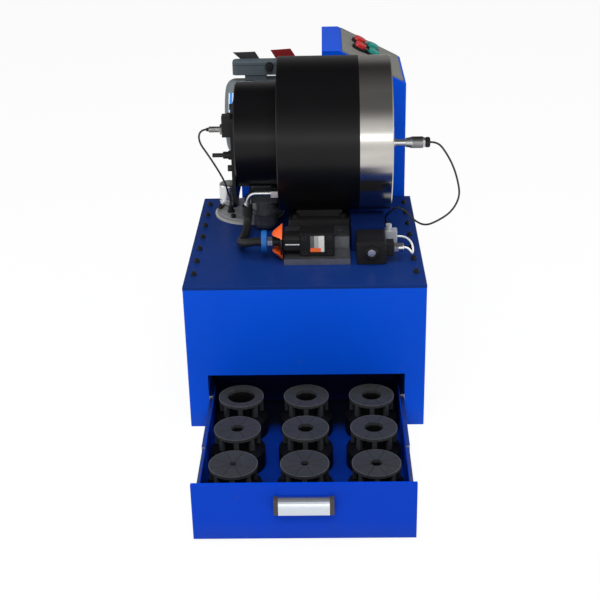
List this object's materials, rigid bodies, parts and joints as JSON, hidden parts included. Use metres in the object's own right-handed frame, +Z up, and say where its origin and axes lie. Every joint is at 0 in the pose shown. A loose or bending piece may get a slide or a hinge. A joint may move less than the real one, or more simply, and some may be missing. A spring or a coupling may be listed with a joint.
{
  "type": "hose crimping machine",
  "caption": "Hydraulic hose crimping machine: radial crimp head on a tank cabinet with a drawer of die sets, valve group, motor, console and micrometer stop.",
  "frame": {"origin": "on the floor under the centre of the tank cabinet", "axes": "+X along the crimp head to the operator's end, -Y to the drawer side, +Z up"},
  "size_m": [0.632, 1.3177, 0.772],
  "materials": {
    "cabinet_blue": "bright blue gloss enamel",
    "deck_blue": "darker blue enamel",
    "drawer_blue": "bright blue enamel",
    "galvanised": "zinc plated sheet steel",
    "die_steel": "blackened tool steel",
    "head_black": "gloss black paint",
    "ring_chrome": "turned and chromed steel",
    "ground_steel": "ground steel",
    "master_steel": "oiled tool steel",
    "black_oxide": "black oxide steel",
    "satin_chrome": "satin chrome",
    "black_rubber": "black rubber",
    "white_pvc": "white PVC",
    "black_plastic": "moulded black plastic",
    "orange_plastic": "moulded orange plastic",
    "grey_plastic": "moulded grey plastic",
    "cast_black": "black painted casting",
    "manifold_steel": "milled steel",
    "collar_blue": "blue collar",
    "filter_grey": "dark grey paint",
    "flange_grey": "grey painted plate",
    "motor_grey": "grey green motor paint",
    "box_grey": "grey motor paint",
    "brushed_aluminium": "ridged brushed aluminium",
    "pump_aluminium": "cast aluminium",
    "panel_grey": "light grey paint",
    "button_red": "red button",
    "button_green": "green button"
  },
  "bodies": {
    "root": {"access_cover": "flange_grey", "cabinet_shell": "cabinet_blue", "cable_plug": "black_plastic", "cap_screws": "black_oxide", "coil_collar": "orange_plastic", "console_cabinet": "cabinet_blue", "console_panel": "panel_grey", "cord_glands": "black_plastic", "fan_cowl": "motor_grey", "front_ring": "ring_chrome", "gear_pump": "pump_aluminium", "head_foot": "black_oxide", "line_collar": "collar_blue", "line_fittings": "ground_steel", "main_cylinder": "head_black", "micrometer_cap": "black_plastic", "micrometer_cord": "black_rubber", "micrometer_sleeve": "satin_chrome", "motor_body": "motor_grey", "motor_pedestal": "cabinet_blue", "plug_lead": "white_pvc", "pressure_hose": "black_rubber", "pressure_switch": "grey_plastic", "proximity_sensor": "satin_chrome", "rear_bracket": "black_oxide", "rear_cylinder": "head_black", "relief_block": "deck_blue", "relief_coil": "black_plastic", "return_filter": "filter_grey", "sensor_cord": "black_rubber", "slide_outer": "galvanised", "terminal_box": "box_grey", "top_plate": "deck_blue", "valve_body": "cast_black", "valve_coil": "black_plastic", "valve_manifold": "manifold_steel"},
    "drawer": {"drawer_tray": "drawer_blue", "drawer_front": "drawer_blue", "drawer_handle": "brushed_aluminium", "slide_inner": "galvanised", "die_row_front": "die_steel", "die_row_middle": "die_steel", "die_row_back": "die_steel"},
    "slide_link": {"slide_middle": "galvanised"},
    "ram_body": {"ram": "ground_steel"},
    "thimble": {"micrometer_thimble": "satin_chrome"},
    "rotor": {"motor_rotor": "motor_grey"},
    "filler_cap": {"breather_cap": "satin_chrome"},
    "master_1": {"master_die_1": "master_steel"},
    "master_2": {"master_die_2": "master_steel"},
    "master_3": {"master_die_3": "master_steel"},
    "master_4": {"master_die_4": "master_steel"},
    "master_5": {"master_die_5": "master_steel"},
    "master_6": {"master_die_6": "master_steel"},
    "master_7": {"master_die_7": "master_steel"},
    "master_8": {"master_die_8": "master_steel"},
    "button_start_red_body": {"button_start_red": "button_red"},
    "button_start_green_body": {"button_start_green": "button_green"},
    "button_stop_red_body": {"button_stop_red": "button_red"},
    "button_stop_green_body": {"button_stop_green": "button_green"}
  },
  "joints": [
    {"name": "drawer_slide", "type": "slide", "parent": "root", "child": "drawer", "axis": [0, 1, 0], "range_m": [0, 0.438]},
    {"name": "slide_link_run", "type": "slide", "parent": "root", "child": "slide_link", "axis": [0, 1, 0], "range_m": [0, 0.219]},
    {"name": "ram_slide", "type": "slide", "parent": "root", "child": "ram_body", "axis": [1, 0, 0], "range_m": [0, 0.02]},
    {"name": "thimble_turn", "type": "hinge", "parent": "root", "child": "thimble", "pos_m": [0.257, -0.033, 0.6005], "axis": [1, 0, 0], "continuous": true},
    {"name": "rotor_spin", "type": "hinge", "parent": "root", "child": "rotor", "pos_m": [-0.15, 0.374, 0.55], "axis": [1, 0, 0], "continuous": true},
    {"name": "filler_cap_turn", "type": "hinge", "parent": "root", "child": "filler_cap", "pos_m": [-0.197, 0.202, 0.38], "axis": [0, 0, 1], "range_deg": [0, 90]},
    {"name": "master_1_slide", "type": "slide", "parent": "root", "child": "master_1", "axis": [0.7071, 0, -0.7071], "range_m": [0, 0.0143]},
    {"name": "master_2_slide", "type": "slide", "parent": "root", "child": "master_2", "axis": [0.7071, 0.5, -0.5], "range_m": [0, 0.0143]},
    {"name": "master_3_slide", "type": "slide", "parent": "root", "child": "master_3", "axis": [0.7071, 0.7071, 0], "range_m": [0, 0.0143]},
    {"name": "master_4_slide", "type": "slide", "parent": "root", "child": "master_4", "axis": [0.7071, 0.5, 0.5], "range_m": [0, 0.0143]},
    {"name": "master_5_slide", "type": "slide", "parent": "root", "child": "master_5", "axis": [0.7071, 0, 0.7071], "range_m": [0, 0.0143]},
    {"name": "master_6_slide", "type": "slide", "parent": "root", "child": "master_6", "axis": [0.7071, -0.5, 0.5], "range_m": [0, 0.0143]},
    {"name": "master_7_slide", "type": "slide", "parent": "root", "child": "master_7", "axis": [0.7071, -0.7071, 0], "range_m": [0, 0.0143]},
    {"name": "master_8_slide", "type": "slide", "parent": "root", "child": "master_8", "axis": [0.7071, -0.5, -0.5], "range_m": [0, 0.0143]},
    {"name": "button_start_red_press", "type": "slide", "parent": "root", "child": "button_start_red_body", "axis": [-0.4535, 0, -0.8912], "range_m": [0, 0.004], "stiffness_N_per_m": 900, "springref_m": -0.003},
    {"name": "button_start_green_press", "type": "slide", "parent": "root", "child": "button_start_green_body", "axis": [-0.4535, 0, -0.8912], "range_m": [0, 0.004], "stiffness_N_per_m": 900, "springref_m": -0.003},
    {"name": "button_stop_red_press", "type": "slide", "parent": "root", "child": "button_stop_red_body", "axis": [-0.4535, 0, -0.8912], "range_m": [0, 0.004], "stiffness_N_per_m": 900, "springref_m": -0.003},
    {"name": "button_stop_green_press", "type": "slide", "parent": "root", "child": "button_stop_green_body", "axis": [-0.4535, 0, -0.8912], "range_m": [0, 0.004], "stiffness_N_per_m": 900, "springref_m": -0.003}
  ],
  "couplings": [
    {"joint": "slide_link_run", "follows": "drawer_slide", "ratio": 0.5},
    {"joint": "master_1_slide", "follows": "ram_slide", "ratio": 0.70711},
    {"joint": "master_2_slide", "follows": "ram_slide", "ratio": 0.70711},
    {"joint": "master_3_slide", "follows": "ram_slide", "ratio": 0.70711},
    {"joint": "master_4_slide", "follows": "ram_slide", "ratio": 0.70711},
    {"joint": "master_5_slide", "follows": "ram_slide", "ratio": 0.70711},
    {"joint": "master_6_slide", "follows": "ram_slide", "ratio": 0.70711},
    {"joint": "master_7_slide", "follows": "ram_slide", "ratio": 0.70711},
    {"joint": "master_8_slide", "follows": "ram_slide", "ratio": 0.70711}
  ]
}
